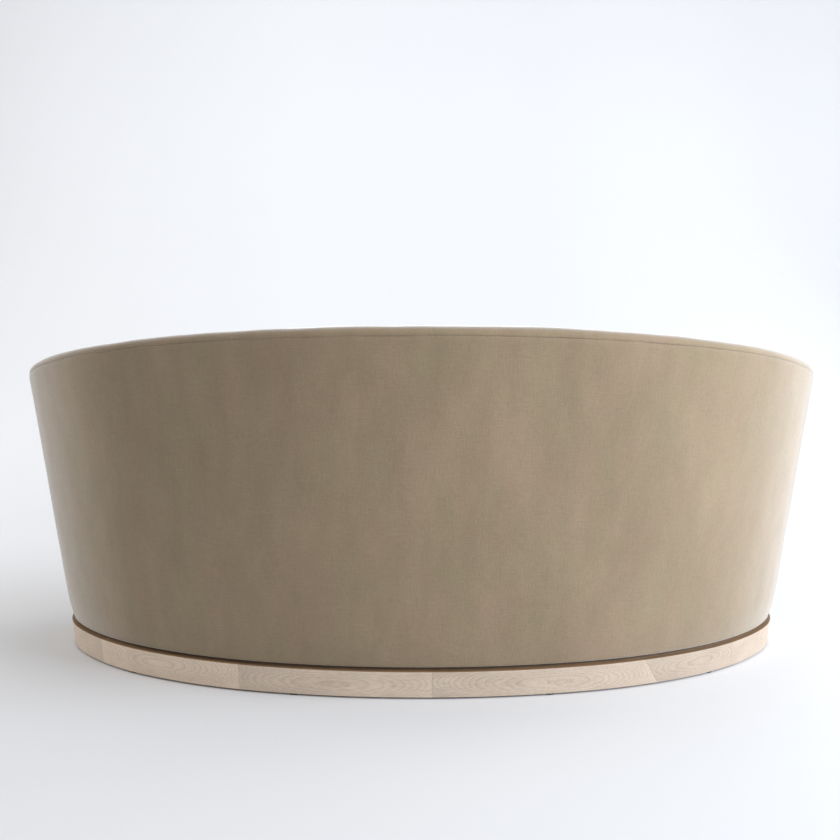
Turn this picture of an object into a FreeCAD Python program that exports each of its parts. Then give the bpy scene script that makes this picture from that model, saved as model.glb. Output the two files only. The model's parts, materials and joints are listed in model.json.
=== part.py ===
"""Barrel loveseat: an upholstered shell that leans outwards, on a low plinth of curved oak segments.

Millimetres. +Z is up, the front faces -Y, and the origin is on the floor below the middle of the
object. The outside is one plan outline, pushed out as it rises. Its back is half an ellipse, then come
a short straight run, a round corner and a shallow bow across the front.
"""
import FreeCAD
import Part
import math
import os
from FreeCAD import Vector

SIZES = (
    ("half_width", 845.0, "centre to side of the plinth at its top edge"),
    ("back_reach", 500.0, "widest line to the back of the plinth"),
    ("front_reach", 240.0, "widest line to the middle of the plinth's front"),
    ("side_run", 60.0, "straight run of each side in front of the widest line"),
    ("corner_radius", 80.0, "front corners of the plinth in plan"),
    ("side_lean", 7.8, "degrees that the outside leans out"),
    ("back_rake", 12.0, "degrees that the inside back leans"),
    ("glide_lift", 4.0, "height of the glides under the plinth"),
    ("glide_radius", 12.0, "radius of a glide"),
    ("glide_inset", 21.0, "centre of a glide behind the plinth's top edge"),
    ("plinth_height", 55.0, "height of the oak segments"),
    ("plinth_thick", 38.0, "thickness of the oak segments"),
    ("plinth_lean", 5.7, "degrees that the plinth's face leans out"),
    ("joint_gap", 0.3, "hairline between two oak segments"),
    ("scarf_slant", 32.0, "degrees that the slanted joint leans along the plinth"),
    ("block_width", 70.0, "glue block behind a plinth joint, along the plinth"),
    ("block_depth", 30.0, "glue block, inwards"),
    ("block_lift", 2.0, "glue block above the plinth's underside"),
    ("screw_radius", 2.5, "frame screws"),
    ("screw_head", 5.0, "radius of a screw head"),
    ("screw_point", 3.0, "cover left above a screw's point"),
    ("screw_length", 58.0, "length of a frame screw"),
    ("screw_tip", 0.8, "radius of a screw's tip"),
    ("hole_clearance", 0.2, "screw hole round its screw"),
    ("stretcher_thick", 25.0, "thickness of the stretchers"),
    ("stretcher_height", 55.0, "height of the stretchers"),
    ("stretcher_place", 290.0, "centre line to each stretcher"),
    ("corner_block_height", 34.0, "glue blocks between the ribs and the sole"),
    ("corner_block_width", 30.0, "width of those blocks"),
    ("reveal_height", 7.0, "dark band between plinth and upholstery"),
    ("reveal_setback", 14.0, "how far the dark band stands back"),
    ("reveal_width", 56.0, "width of the dark band's strips"),
    ("sole_thick", 18.0, "plywood sole under the frame"),
    ("sole_width", 64.0, "width of the sole"),
    ("rim_height", 766.0, "top of the rim at the middle of the back"),
    ("rim_fall", 12.6, "degrees that the rim slopes down to the front"),
    ("rim_thick", 108.0, "thickness of the shell at the back's rim"),
    ("rim_round", 30.0, "how far in the rim's shoulders round over"),
    ("rim_pad_depth", 42.0, "rim padding above the top rail"),
    ("seam_drop", 20.0, "seams below the top of the rim, where its shoulders start"),
    ("hem_tuck", 7.0, "how far the cover draws in at its lower edge"),
    ("hem_height", 70.0, "height over which the cover draws in"),
    ("cover_thick", 6.0, "velvet with its bonded wadding"),
    ("board_thick", 5.0, "bent plywood under the outside cover"),
    ("board_bed", 1.4, "room for glue between that plywood and the ribs"),
    ("rib_thick", 22.0, "thickness of the ribs"),
    ("rib_depth", 66.0, "depth of the ribs"),
    ("post_thick", 36.0, "thickness of the arm posts"),
    ("top_rail_thick", 22.0, "thickness of the top rail"),
    ("seat_frame_top", 258.0, "top of the seat rails"),
    ("seat_rail_height", 100.0, "height of the seat rails"),
    ("seat_rail_thick", 28.0, "thickness of the seat rails"),
    ("front_pad", 10.0, "padding of the front border"),
    ("strap_width", 50.0, "width of the webbing"),
    ("strap_thick", 1.6, "thickness of the webbing"),
    ("strap_margin", 80.0, "outermost long strap's middle to the side rail"),
    ("strap_inset", 14.0, "end of a strap from the far edge of its rail"),
    ("last_strap", 200.0, "rearmost cross strap behind the widest line"),
    ("back_strap_pitch", 98.0, "spacing of the straps in the back"),
    ("weave_rise", 1.0, "how far a woven strap rises or dips at a crossing"),
    ("weave_room", 2.0, "a strap's bend before each crossing"),
    ("deck_pad_thick", 12.0, "cloth-covered felt pad over the seat webbing"),
    ("dust_cloth_thick", 1.0, "cloth under the frame"),
    ("cushion_thick", 155.0, "cushion at its edge"),
    ("cushion_crown", 34.0, "rise of the cushion's middle"),
    ("cushion_roll", 20.0, "height and depth over which the cushion's edges round over"),
    ("crown_reach", 165.0, "from the cushion's side to the level middle of its top"),
    ("cushion_gap", 4.0, "space between the cushion and the inside cover"),
    ("cushion_cover_thick", 2.0, "cushion cover"),
    ("zip_width", 24.0, "zip tape on the cushion's back border"),
    ("zip_thick", 1.5, "thickness of the zip"),
    ("flat_sag", 2.0, "most that the straight facets of hidden faces leave the true curve"),
    ("fit_gap", 0.3, "clearance between parts that only lie together"),
)

doc = FreeCAD.newDocument("loveseat")
sheet = doc.addObject("Spreadsheet::Sheet", "sizes")
for row, (alias, value, note) in enumerate(SIZES, start=1):
    sheet.set("A%d" % row, note)
    sheet.set("B%d" % row, str(value))
    sheet.setAlias("B%d" % row, alias)
doc.recompute()


def size(alias):
    return float(getattr(sheet, alias))


BACK_ARCS = 8               # circular arcs that make up the back half ellipse
SPAN_ANGLE = 180.0 / BACK_ARCS
BOW_ARCS = 4                # pieces of the front bow's arc
RIB_ANGLES = [SPAN_ANGLE * k for k in range(BACK_ARCS + 1)]
ARM_TURN = 2 * SPAN_ANGLE   # where the pieces of an arm end and those of the back begin
OAK_JOINTS = (6.0, 31.0, 63.5, 91.5, 126.0, 146.0, 174.0)
SCARF_JOINT = 126.0         # this joint is cut at a slant
BOW_JOINTS = (-9.0, 0.5, 9.0)
GLIDE_ANGLES = (10.0, 40.0, 72.0, 108.0, 140.0, 170.0)
GLIDE_CORNER = 40.0         # turn round a front corner to its glide
GLIDE_BOW = 5.0             # turn along the bow to its glides
GLIDE_SIDES = 12
SCREW_SIDES = 6
ROLL_TURNS = (0.0, 45.0, 90.0)
PAD_TURNS = (0.0, 90.0)     # padding under the roll has one flat chamfer
LONG_STRAPS = 9
CROSS_STRAPS = 3
STRAP_SEAT = 28.0           # length of a strap's end that lies flat on its rail
CUT_REACH = 60.0            # how far a cutting solid reaches past what it cuts
SAME_PLACE = 1e-5           # two centres closer than this are one
STRAIGHT = 1e-4             # a span bent by less than this is a straight line
HALVINGS = 50               # steps of a search by halving

fit = size("fit_gap")
out_slope = math.tan(math.radians(size("side_lean")))
in_slope = math.tan(math.radians(size("back_rake")))
rim_slope = math.tan(math.radians(size("rim_fall")))
plinth_top = size("glide_lift") + size("plinth_height")
reveal_top = plinth_top + size("reveal_height")
sole_top = reveal_top + size("sole_thick")
hem_top = reveal_top + size("hem_height")
above_all = size("rim_height") + size("rim_round")
top_seam = size("rim_height") - size("seam_drop")
top_back = size("back_reach") + out_slope * (size("rim_height") - plinth_top)
cover = size("cover_thick")
seat_top = size("seat_frame_top")
strap_middle = seat_top + size("strap_thick") / 2 + size("weave_rise") / 2
deck_base = strap_middle + size("weave_rise") + size("strap_thick") / 2 + fit
deck_top = deck_base + size("deck_pad_thick")
board_face = cover + fit
rib_face = board_face + size("board_thick") + size("board_bed")
rib_back = rib_face + size("rib_depth")
foam_face = rib_back + size("strap_thick") + 2 * fit
corner_x = size("half_width") - size("corner_radius")
bow_rise = size("front_reach") - size("side_run")
bow_radius = ((corner_x ** 2 + bow_rise ** 2 - size("corner_radius") ** 2)
              / (2 * (bow_rise - size("corner_radius"))))
bow_end = math.degrees(math.asin(corner_x / (bow_radius - size("corner_radius"))))
corner_end = 90.0 - bow_end

# Levels of the cushion, each with the height above its base and how far its side draws in there
SHOULDER_RISE = 0.6         # share of the crown that is reached at SHOULDER_REACH of the way in
SHOULDER_REACH = 0.45
cushion_levels = (
    (0.0, size("cushion_roll")),
    (size("cushion_roll"), 0.0),
    (size("cushion_thick") - size("cushion_roll"), 0.0),
    (size("cushion_thick"), size("cushion_roll")),
    (size("cushion_thick") + SHOULDER_RISE * size("cushion_crown"), SHOULDER_REACH * size("crown_reach")),
    (size("cushion_thick") + size("cushion_crown"), size("crown_reach")),
)
core_levels = cushion_levels[0:1] + cushion_levels[3:4] + cushion_levels[5:6]


def lean(z):
    """How far the outside stands proud of the plinth's top edge at height z."""
    return out_slope * (z - plinth_top)


def inner(z):
    """Face of the inside cover at height z, as a distance proud of the plinth's edge (negative)."""
    return lean(top_seam) - size("rim_thick") - in_slope * (top_seam - z)


cushion_base = deck_top + fit
cushion_front = max(lean(cushion_base + level) - draw for level, draw in cushion_levels)
shell_back = size("back_reach") + lean(top_seam)
centre_y = (shell_back - size("front_reach") - cushion_front) / 2


# Stations on the plan outline: a point (x, y) and the outward direction (nx, ny) there

def ellipse_point(angle):
    """Point of the back's ideal half ellipse, and the direction that it faces."""
    turn = math.radians(angle)
    x = size("half_width") * math.cos(turn)
    y = size("back_reach") * math.sin(turn)
    facing = math.atan2(math.sin(turn) / size("back_reach"), math.cos(turn) / size("half_width"))
    return x, y, facing


def arc_pair(angle):
    """Two arcs that run on smoothly into each other and meet the ellipse at both their far ends."""
    x0, y0, start = ellipse_point(angle)
    middle = ellipse_point(angle + SPAN_ANGLE)[2]
    x2, y2, end = ellipse_point(angle + 2 * SPAN_ANGLE)
    ax, ay = math.cos(middle) - math.cos(start), math.sin(middle) - math.sin(start)
    bx, by = math.cos(end) - math.cos(middle), math.sin(end) - math.sin(middle)
    spread = ax * by - ay * bx
    first = ((x2 - x0) * by - (y2 - y0) * bx) / spread
    second = ((y2 - y0) * ax - (x2 - x0) * ay) / spread
    return ((middle, x0 - first * math.cos(start), y0 - first * math.sin(start), first),
            (end, x2 - second * math.cos(end), y2 - second * math.sin(end), second))


back_arcs = [arc for number in range(0, BACK_ARCS, 2) for arc in arc_pair(number * SPAN_ANGLE)]


def rear(angle):
    """On the back: 0 is the +X side, 90 the middle of the back, 180 the -X side."""
    facing = ellipse_point(angle)[2]
    x, y, radius = next(arc[1:] for arc in back_arcs if facing < arc[0] + SAME_PLACE)
    nx, ny = math.cos(facing), math.sin(facing)
    return (x + radius * nx, y + radius * ny, nx, ny)


def run(side, distance):
    """On the straight run of one side, so far in front of the widest line."""
    return (side * size("half_width"), -distance, float(side), 0.0)


def corner(side, angle):
    """On a front corner: 0 faces sideways, corner_end is where the bow starts."""
    turn = math.radians(angle)
    radius = size("corner_radius")
    x = corner_x + radius * math.cos(turn)
    y = -size("side_run") - radius * math.sin(turn)
    return (side * x, y, side * math.cos(turn), -math.sin(turn))


def bow(angle):
    """On the front bow: 0 is the middle, positive angles lie towards +X."""
    turn = math.radians(angle)
    x = bow_radius * math.sin(turn)
    y = bow_radius - size("front_reach") - bow_radius * math.cos(turn)
    return (x, y, math.sin(turn), -math.cos(turn))


def at(station, proud, z):
    x, y, nx, ny = station
    return Vector(x + proud * nx, y + proud * ny - centre_y, z)


def stations(place, start, end, spans):
    """Stations of a path: the ends of its spans, and the middle of each."""
    steps = 2 * spans
    return [place(start + (end - start) * k / steps) for k in range(steps + 1)]


def rear_path(start, end):
    """Along the back, with a break wherever two of its arcs meet."""
    breaks = [angle for angle in RIB_ANGLES if start < angle < end]
    turns = [start] + breaks + [end]
    return joined(*[stations(rear, low, high, 1) for low, high in zip(turns, turns[1:])])


def run_path(side, start, end):
    return stations(lambda distance: run(side, distance), start, end, 1)


def corner_path(side, start, end):
    return stations(lambda angle: corner(side, angle), start, end, 2)


def bow_path(start, end):
    spans = math.ceil(abs(end - start) * BOW_ARCS / (2 * bow_end) - SAME_PLACE)
    return stations(bow, start, end, spans)


def joined(*paths):
    whole = list(paths[0])
    for path in paths[1:]:
        whole += path[1:]
    return whole


def flats(path):
    """The same path drawn with short straight lines, for faces that the covers hide."""
    straight = [path[0]]
    for start, end in zip(path[:-2:2], path[2::2]):
        turn = math.asin(start[2] * end[3] - start[3] * end[2])
        corners = [end]
        if abs(turn) > SAME_PLACE:
            radius = math.dist(start[:2], end[:2]) / (2 * math.sin(abs(turn) / 2))
            count = math.ceil(abs(turn) / (2 * math.acos(1 - size("flat_sag") / radius)))
            facing = math.atan2(start[3], start[2])
            x, y = start[0] - radius * start[2], start[1] - radius * start[3]
            corners = []
            for k in range(1, count):
                nx, ny = math.cos(facing + turn * k / count), math.sin(facing + turn * k / count)
                corners.append((x + radius * nx, y + radius * ny, nx, ny))
            corners.append(end)
        for station in corners:
            middle = tuple((a + b) / 2 for a, b in zip(straight[-1], station))
            straight += [middle, station]
    return straight


def points_along(path, place):
    """Points at the stations of a path, with the middle of each straight line halfway between its ends."""
    points = [place(station) for station in path]
    for k in range(1, len(path) - 1, 2):
        if math.hypot(path[k][2], path[k][3]) < 1 - SAME_PLACE ** 2:
            points[k] = (points[k - 1] + points[k + 1]) / 2
    return points


def per_degree(place, angle):
    """Length of the outline for each degree of a path's angle."""
    before, after = place(angle - 1), place(angle + 1)
    return math.dist(before[:2], after[:2]) / 2


def bow_angle(x, proud):
    return math.degrees(math.asin(x / (bow_radius + proud)))


def halved(low, high, before):
    """The place between low and high where before() stops being true."""
    for _ in range(HALVINGS):
        middle = (low + high) / 2
        if before(middle):
            low = middle
        else:
            high = middle
    return (low + high) / 2


def rear_angle(x, proud):
    """Angle of the back station whose point, moved out by proud, has this x."""
    return halved(0.0, 180.0, lambda angle: at(rear(angle), proud, 0.0).x > x)


def rear_quarter_angle(y, proud):
    """Angle of the station in the back's first quarter whose point, moved out by proud, has this y."""
    return halved(0.0, 90.0, lambda angle: at(rear(angle), proud, 0.0).y < y)


# Heights of the rim and the inside face

def rim_plane(y):
    """Height of the plane that the rim's outer shoulder lies in: it falls towards the front."""
    return size("rim_height") - rim_slope * (top_back - y)


def rim_z(station, drop=0.0):
    """Height at which the outside meets that plane, or the same plane lowered by drop."""
    y, ny = station[1], station[3]
    drag = rim_slope * out_slope * ny
    return (rim_plane(y) - drop - drag * plinth_top) / (1 - drag)


def roll_steps(inset, turns):
    """The rounding of a shoulder: how far in, and how far above the seam, at each of its steps."""
    steps = []
    for turn in turns:
        swing = math.radians(turn)
        steps.append((size("rim_round") - (size("rim_round") - inset) * math.cos(swing),
                      (size("seam_drop") - inset) * math.sin(swing)))
    return steps


def rim_curve(station, inset, turns):
    """Section of the rim, from the outside seam over the top to the inside seam."""
    z = rim_z(station) - size("seam_drop")
    steps = roll_steps(inset, turns)
    points = [(lean(z) - draw, z + rise) for draw, rise in steps]
    points += [(inner(z) + draw, z + rise) for draw, rise in reversed(steps)]
    return points


# Solids from stations

def off_line(start, middle, end):
    """How far a span's middle lies from the straight line between its ends."""
    return (middle - start).distanceToLine(Vector(), end - start)


def edge(start, middle, end):
    if off_line(start, middle, end) < STRAIGHT:
        return Part.LineSegment(start, end).toShape()
    return Part.Arc(start, middle, end).toShape()


def turned_face(below, above):
    """Cone between two level arcs round one upright axis, or nothing where they aren't such a pair."""
    drawn = [edge(*below), edge(*above)]
    if not all(isinstance(item.Curve, Part.Circle) for item in drawn):
        return None
    centres = [item.Curve.Center for item in drawn]
    for low, high in zip(below, above):
        out_low, out_high = low - centres[0], high - centres[1]
        level = max(abs(out_low.z), abs(out_high.z))
        skew = abs(out_low.x * out_high.y - out_low.y * out_high.x)
        if max(level, skew / out_high.Length, math.dist(centres[0][:2], centres[1][:2])) > SAME_PLACE:
            return None
    start, end = below[0] - centres[0], below[2] - centres[0]
    turn = math.atan2(start.x * end.y - start.y * end.x, start.x * end.x + start.y * end.y)
    return Part.makeLine(below[0], above[0]).revolve(centres[0], Vector(0, 0, 1), math.degrees(turn))


def plane_face(below, above):
    """Flat face between two straight spans in one plane, or nothing where they aren't such a pair."""
    corners = [below[0], below[2], above[2], above[0]]
    if max(off_line(*below), off_line(*above)) > STRAIGHT:
        return None
    normal = (corners[2] - corners[0]).cross(corners[3] - corners[1])
    normal.normalize()
    if abs(normal.dot(corners[1] - corners[0])) > STRAIGHT:
        return None
    return Part.Face(Part.makePolygon(corners + [corners[0]]))


def band(below, above):
    """Face between two spans that lie beside each other."""
    face = plane_face(below, above) or turned_face(below, above)
    if face is None:
        face = Part.makeRuledSurface(edge(*below), edge(*above))
    return face


def closed_solid(faces):
    shell = Part.makeShell(faces)
    shell.sewShape()
    solid = Part.makeSolid(shell)
    if solid.Volume < 0:
        solid.reverse()
    return solid


def wall(path, profile):
    """Sweep a closed section, given per station as (proud, z) points, along an open path."""
    count = len(profile(path[0]))
    lines = []
    for k in range(count):
        lines.append(points_along(path, lambda station, k=k: at(station, *profile(station)[k])))
    faces = []
    for k in range(count):
        for here, beside in zip(spans_of(lines[k]), spans_of(lines[(k + 1) % count])):
            faces.append(band(here, beside))
    for end in (0, -1):
        row = [line[end] for line in lines]
        faces.append(Part.Face(Part.makePolygon(row + [row[0]])))
    return closed_solid(faces)


def spans_of(points):
    return [(points[k], points[k + 1], points[k + 2]) for k in range(0, len(points) - 2, 2)]


def line_span(start, end):
    return (start, (start + end) / 2, end)


def stack(rings):
    """Join flat rings, one above the other and alike in their spans, into a solid."""
    faces = [flat_face(rings[0]), flat_face(rings[-1])]
    for lower, upper in zip(rings, rings[1:]):
        faces += [band(below, above) for below, above in zip(lower, upper, strict=True)]
    return closed_solid(faces)


def flat_face(ring):
    return Part.Face(Part.Wire([edge(*span) for span in ring]))


def strip(path, outer, inside, low, high):
    """Level board between two distances from the outline, with its inner edge cut in straight lines."""
    ring = [at(station, outer, low) for station in path]
    back = [at(station, inside, low) for station in reversed(flats(path))]
    spans = spans_of(ring) + [line_span(ring[-1], back[0])]
    spans += spans_of(back) + [line_span(back[-1], ring[0])]
    return flat_face(spans).extrude(Vector(0, 0, high - low))


def spans_swept(path, section):
    """One solid for each arc or straight run of a path, all with the same section."""
    solids = []
    for first in range(0, len(path) - 2, 2):
        start, end = path[first], path[first + 2]
        corners = [at(start, proud, z) for proud, z in section]
        face = Part.Face(Part.makePolygon(corners + [corners[0]]))
        step = Vector(end[0] - start[0], end[1] - start[1], 0)
        turn = math.asin(start[2] * end[3] - start[3] * end[2])
        if abs(turn) < SAME_PLACE:
            solids.append(face.extrude(step))
            continue
        radius = step.Length / (2 * math.sin(abs(turn) / 2))
        centre = at(start, -radius, 0.0)
        solids.append(face.revolve(centre, Vector(0, 0, 1), math.degrees(turn)))
    return solids


def flat_swept(path, section):
    """The same wall or rail with straight facets."""
    return wall(flats(path), lambda station: section)


def swept(path, section):
    """A leaning wall or rail of one section along a path, as one solid."""
    solids = spans_swept(path, section)
    if len(solids) == 1:
        return solids[0]
    return solids[0].fuse(solids[1:]).removeSplitter()


def leaning(low, high, face, back):
    """Section of a wall whose sides both lean with the outside, at two distances behind it."""
    return [(lean(low) - face, low), (lean(high) - face, high),
            (lean(high) - back, high), (lean(low) - back, low)]


def outline_ring(proud, z):
    """The whole plan outline at one height, in straight lines."""
    path = joined(rear_path(0, 180), run_path(-1, 0, size("side_run")),
                  corner_path(-1, 0, corner_end), bow_path(-bow_end, bow_end),
                  corner_path(1, corner_end, 0), run_path(1, size("side_run"), 0))
    return spans_of([at(station, proud, z) for station in flats(path)])


def true_curve(path):
    """The path as it is, where a face is seen."""
    return path


def seat_ring(z, back_draw, front_draw, gap, drawn):
    """Plan of what lies in the seat: round behind, straight sides, and the bow in front."""
    rear_points = [at(station, inner(z) - gap - back_draw, z) for station in drawn(rear_path(0, 180))]
    half = size("half_width") + inner(z) - gap - back_draw
    proud = lean(z) - front_draw
    reach = bow_angle(half, proud)
    front = drawn(stations(bow, -reach, reach, BOW_ARCS))
    front_points = [at(station, proud, z) for station in front]
    ring = spans_of(rear_points)
    ring.append(line_span(rear_points[-1], front_points[0]))
    ring += spans_of(front_points)
    ring.append(line_span(front_points[-1], rear_points[0]))
    return ring


def polygon_ring(sides, reach, foot):
    """Regular polygon round an upright axis, whose flat sides lie this far from it."""
    radius = reach / math.cos(math.pi / sides)
    turns = [2 * math.pi * k / sides for k in range(sides + 1)]
    corners = [foot + Vector(radius * math.cos(turn), radius * math.sin(turn), 0) for turn in turns]
    return [line_span(start, end) for start, end in zip(corners, corners[1:])]


def level_slab(top):
    """Everything from the floor up to a height, over the whole plan and past it."""
    wide = 4 * size("half_width")
    slab = Part.makeBox(wide, wide, top)
    slab.translate(Vector(-wide / 2, -wide / 2, 0))
    return slab


def well_prism(widen):
    """The space between the arms in front of the widest line, widened by so much on each side."""
    low, high = plinth_top, above_all
    low_half = size("half_width") + inner(low) + widen
    high_half = size("half_width") + inner(high) + widen
    start = -size("side_run") / 2 - centre_y
    corners = [Vector(-low_half, start, low), Vector(low_half, start, low),
               Vector(high_half, start, high), Vector(-high_half, start, high)]
    face = Part.Face(Part.makePolygon(corners + [corners[0]]))
    return face.extrude(Vector(0, -2 * size("front_reach"), 0))


def above_plane(origin, across, fall):
    """Everything above the plane through a point that holds two directions, within the object's size."""
    up = across.cross(fall)
    if up.z < 0:
        up = -up
    reach = 2 * size("half_width")
    box = Part.makeBox(2 * reach, 2 * reach, reach, Vector(-reach, -reach, 0))
    box.Placement = FreeCAD.Placement(origin, FreeCAD.Rotation(across, Vector(), up, "ZXY"))
    return box


def above_rim(drop):
    """Everything above the plane of the rim's outer shoulder, lowered by drop."""
    return above_plane(Vector(0, -centre_y, rim_plane(0.0) - drop), Vector(1, 0, 0), Vector(0, 1, rim_slope))


def above_bay(path, drop):
    """The same over one bay of the back, with the plane level across the bay's middle."""
    first, middle, last = path[0], path[len(path) // 2], path[-1]
    ends = [at(station, lean(rim_z(station)), rim_z(station) - drop) for station in (first, last)]
    return above_plane(ends[0], Vector(middle[2], middle[3], 0), ends[1] - ends[0])


def rim_space(drop, reach):
    """Everything above the rim's top surface lowered by drop, over the shell and reach around it."""
    def section(station):
        low = rim_z(station) - drop
        return [(lean(low) + reach, low), (lean(above_all) + reach, above_all),
                (inner(above_all) - reach, above_all), (inner(low) - reach, low)]

    ends = size("side_run") + reach
    return wall(joined(run_path(1, ends, 0), rear_path(0, 180), run_path(-1, 0, ends)), section)


def roll_wedge(side, inset, turns):
    """What the rim's inside shoulder takes off the inner top edge of an arm's front end."""
    arm = run(side, size("side_run") / 2)
    seam = rim_z(arm) - size("seam_drop")
    section = [(inner(seam) + draw, seam + rise) for draw, rise in roll_steps(inset, turns)]
    section.append((inner(seam) + size("rim_round"), above_all))
    section.append((inner(seam) - size("rim_thick"), above_all))
    section.append((inner(seam) - size("rim_thick"), seam))
    corners = [at(arm, proud, z) for proud, z in section]
    face = Part.Face(Part.makePolygon(corners + [corners[0]]))
    reach = size("front_reach")
    return face.extrude(Vector(-side * in_slope * rim_slope * reach, -reach, -rim_slope * reach))


def nose_path(side, back, low):
    """Outline of an arm's front end, from its straight run round the corner into the bow."""
    shared_x = size("half_width") + inner(low) - size("rim_thick")
    path = joined(corner_path(side, 0, corner_end),
                  bow_path(side * bow_end, side * bow_angle(shared_x, 0.0)))
    if back > 0:
        path = joined(run_path(side, size("side_run") - back, size("side_run")), path)
    return path


def nose_ring(points):
    """The outline of an arm's front end, closed straight back inside the arm."""
    inside = Vector(points[-1].x, points[0].y, points[0].z)
    return spans_of(points) + [line_span(points[-1], inside), line_span(inside, points[0])]


def nose(path, inset, low):
    """Front end of an arm up to its seam, drawn in at the hem as the outside cover is."""
    tuck = size("hem_tuck") * (hem_top - low) / size("hem_height")
    rings = []
    for z, draw in ((low, inset + tuck), (hem_top, inset), (above_all, inset)):
        rings.append(nose_ring([at(station, lean(z) - draw, z) for station in path]))
    return stack(rings).cut(above_rim(size("seam_drop")))


def nose_cap(path, inset, turns, foot):
    """Rounded top of an arm's front end, from so far above its seam."""
    def point(station, draw, rise):
        proud = lean(rim_z(station, size("seam_drop"))) - draw
        plane = rim_plane(station[1] + proud * station[3]) - size("seam_drop")
        return at(station, proud, plane + rise)

    rings = []
    for draw, rise in roll_steps(inset, turns):
        lift = rise if rise > 0 else foot
        rings.append(nose_ring(points_along(path, lambda station: point(station, draw, lift))))
    return stack(rings)


# Adding objects to the document

nodes = []


def keep(item, label):
    item.Label = label
    nodes.append(item)
    return item


def feature(label, shape):
    item = doc.addObject("Part::Feature", label)
    item.Shape = shape
    item.Placement = FreeCAD.Placement()
    return keep(item, label)


def frame_at(station, proud, z):
    """Placement whose X axis points outwards at a station, with Z up."""
    turn = math.degrees(math.atan2(station[3], station[2]))
    return FreeCAD.Placement(at(station, proud, z), FreeCAD.Rotation(Vector(0, 0, 1), turn))


def add_sketch(body, name, role, points):
    """Closed straight outline on one of the body's own planes."""
    plane = next(item for item in body.Origin.OriginFeatures if item.Role == role)
    sketch = body.newObject("Sketcher::SketchObject", name)
    sketch.AttachmentSupport = [(plane, "")]
    sketch.MapMode = "FlatFace"
    for start, end in zip(points, points[1:] + points[:1]):
        sketch.addGeometry(Part.LineSegment(Vector(start[0], start[1], 0), Vector(end[0], end[1], 0)))
    return sketch


# Plinth

def half_gap_turn(place, angle):
    """Angle that takes up half of a joint's hairline there."""
    return size("joint_gap") / 2 / per_degree(place, angle)


def oak_segment(label, path, cuts):
    """One sawn oak segment: its face leans out, its inside is upright, and slanted ends are cut off."""
    low_face = -math.tan(math.radians(size("plinth_lean"))) * size("plinth_height")
    section = [(low_face, size("glide_lift")), (0.0, plinth_top),
               (-size("plinth_thick"), plinth_top), (-size("plinth_thick"), size("glide_lift"))]
    solid = swept(path, section)
    for cut in cuts:
        solid = solid.cut(cut)
    feature(label, solid.Solids[0])


def scarf_cut(side):
    """Everything on one side of the slanted joint, its hairline included."""
    half_gap = size("joint_gap") / 2
    place = frame_at(rear(SCARF_JOINT), 0.0, size("glide_lift") + size("plinth_height") / 2)
    place.Rotation = place.Rotation.multiply(FreeCAD.Rotation(Vector(1, 0, 0), size("scarf_slant")))
    width = 2 * CUT_REACH
    start = -half_gap if side > 0 else half_gap - width
    block = Part.makeBox(width, width, width, Vector(-CUT_REACH, start, -CUT_REACH))
    block.Placement = place
    return block


def make_plinth():
    number = 1
    overrun = size("plinth_height") * math.tan(math.radians(size("scarf_slant")))
    over_turn = overrun / per_degree(rear, SCARF_JOINT)
    for start, end in zip(OAK_JOINTS, OAK_JOINTS[1:]):
        low, high = start + half_gap_turn(rear, start), end - half_gap_turn(rear, end)
        cuts = []
        if start == SCARF_JOINT:
            low = start - over_turn
            cuts = [scarf_cut(-1)]
        if end == SCARF_JOINT:
            high = end + over_turn
            cuts = [scarf_cut(1)]
        oak_segment("plinth_segment_%02d" % number, rear_path(low, high), cuts)
        number += 1
    first, last = OAK_JOINTS[0], OAK_JOINTS[-1]
    left_end = BOW_JOINTS[0] - half_gap_turn(bow, BOW_JOINTS[0])
    right_start = BOW_JOINTS[-1] + half_gap_turn(bow, BOW_JOINTS[-1])
    left = joined(rear_path(last + half_gap_turn(rear, last), 180), run_path(-1, 0, size("side_run")),
                  corner_path(-1, 0, corner_end), bow_path(-bow_end, left_end))
    right = joined(bow_path(right_start, bow_end), corner_path(1, corner_end, 0),
                   run_path(1, size("side_run"), 0), rear_path(0, first - half_gap_turn(rear, first)))
    paths = [left]
    for start, end in zip(BOW_JOINTS, BOW_JOINTS[1:]):
        paths.append(bow_path(start + half_gap_turn(bow, start), end - half_gap_turn(bow, end)))
    paths.append(right)
    for path in paths:
        oak_segment("plinth_segment_%02d" % number, path, [])
        number += 1


def block_stations():
    return [rear(angle) for angle in OAK_JOINTS] + [bow(angle) for angle in BOW_JOINTS]


def block_paths():
    """Stretch of the outline that each glue block follows, half of it on each side of its joint."""
    paths = []
    for place, path, angles in ((rear, rear_path, OAK_JOINTS), (bow, bow_path, BOW_JOINTS)):
        for angle in angles:
            reach = size("block_width") / 2 / per_degree(place, angle)
            paths.append(path(angle - reach, angle + reach))
    return paths


screw_base = sole_top - size("screw_point") - size("screw_length")
head_drop = size("screw_head") - size("screw_radius")
screw_proud = -size("plinth_thick") - size("block_depth") / 2


def make_holes():
    """Screw holes up through the glue blocks and the dark band into the sole."""
    low = size("glide_lift")
    steps = ((size("screw_radius") + size("hole_clearance"), sole_top - size("screw_point") + fit),
             (size("screw_head") + fit, screw_base + head_drop + fit))
    holes = []
    for station in block_stations():
        foot = at(station, screw_proud, low)
        for radius, top in steps:
            ring = polygon_ring(SCREW_SIDES, radius, foot)
            holes.append(flat_face(ring).extrude(Vector(0, 0, top - low)))
    return Part.makeCompound(holes)


def make_glue_blocks(holes):
    low = size("glide_lift") + size("block_lift")
    face = -size("plinth_thick")
    blocks = [strip(flats(path), face, face - size("block_depth"), low, plinth_top).cut(holes)
              for path in block_paths()]
    feature("plinth_blocks", Part.makeCompound([solid for item in blocks for solid in item.Solids]))


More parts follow.
